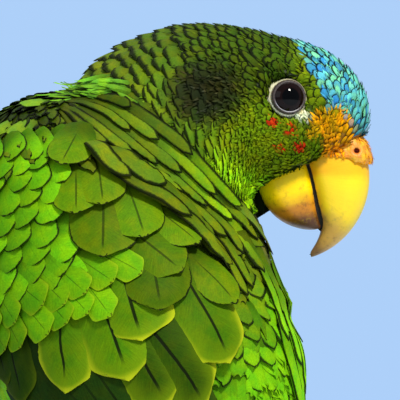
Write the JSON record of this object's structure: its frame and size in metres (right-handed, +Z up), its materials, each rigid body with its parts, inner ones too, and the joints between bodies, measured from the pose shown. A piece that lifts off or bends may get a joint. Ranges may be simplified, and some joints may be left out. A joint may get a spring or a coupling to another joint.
{
  "type": "yellow-lored amazon parrot",
  "caption": "A still, life-size green amazon parrot with a blue forehead and yellow face and bill, standing and looking back over its right shoulder.",
  "frame": {"origin": "On the floor that it stands on, under the middle of the whole bird's box", "axes": "+Z up; the trunk faces +Y, so the tail is toward -Y and the bird's right is +X. The head is turned back over the right shoulder and faces between +X and -Y."},
  "size_m": [0.0838, 0.1572, 0.178],
  "materials": {
    "plumage_green": "soft green contour feathers with dusky edges",
    "plumage_head": "small green scale-like feathers with blackish edges, blue on the forehead and yellow in front of the eye",
    "plumage_wing": "broad green wing feathers with dusky fringes and yellowish edges",
    "plumage_tail": "stiff green tail feathers with yellowish ends",
    "bill_horn": "smooth yellow horn, brownish at the tip",
    "bill_lower_horn": "smooth yellow horn, brown at its edge",
    "cere_skin": "bare orange-yellow skin round the nostrils",
    "eye_glass": "wet, very dark brown",
    "eye_ring_skin": "bare whitish skin with fine wrinkles",
    "leg_skin": "dry grey scaly skin",
    "claw_horn": "blackish horn"
  },
  "bodies": {
    "root": {"head": "plumage_head", "neck": "plumage_head", "trunk": "plumage_green", "tail": "plumage_tail", "bill_upper": "bill_horn", "bill_lower": "bill_lower_horn", "cere": "cere_skin", "eye_right": "eye_glass", "eye_ring_right": "eye_ring_skin", "wing_right_coverts": "plumage_wing", "wing_right_secondaries": "plumage_wing", "wing_right_primaries": "plumage_wing", "leg_right_thigh": "plumage_green", "leg_right_shank": "leg_skin", "leg_right_toe_inner_front": "leg_skin", "leg_right_claw_inner_front": "claw_horn", "leg_right_toe_outer_front": "leg_skin", "leg_right_claw_outer_front": "claw_horn", "leg_right_toe_outer_rear": "leg_skin", "leg_right_claw_outer_rear": "claw_horn", "leg_right_toe_inner_rear": "leg_skin", "leg_right_claw_inner_rear": "claw_horn", "eye_left": "eye_glass", "eye_ring_left": "eye_ring_skin", "wing_left_coverts": "plumage_wing", "wing_left_secondaries": "plumage_wing", "wing_left_primaries": "plumage_wing", "leg_left_thigh": "plumage_green", "leg_left_shank": "leg_skin", "leg_left_toe_inner_front": "leg_skin", "leg_left_claw_inner_front": "claw_horn", "leg_left_toe_outer_front": "leg_skin", "leg_left_claw_outer_front": "claw_horn", "leg_left_toe_outer_rear": "leg_skin", "leg_left_claw_outer_rear": "claw_horn", "leg_left_toe_inner_rear": "leg_skin", "leg_left_claw_inner_rear": "claw_horn"}
  },
  "joints": []
}
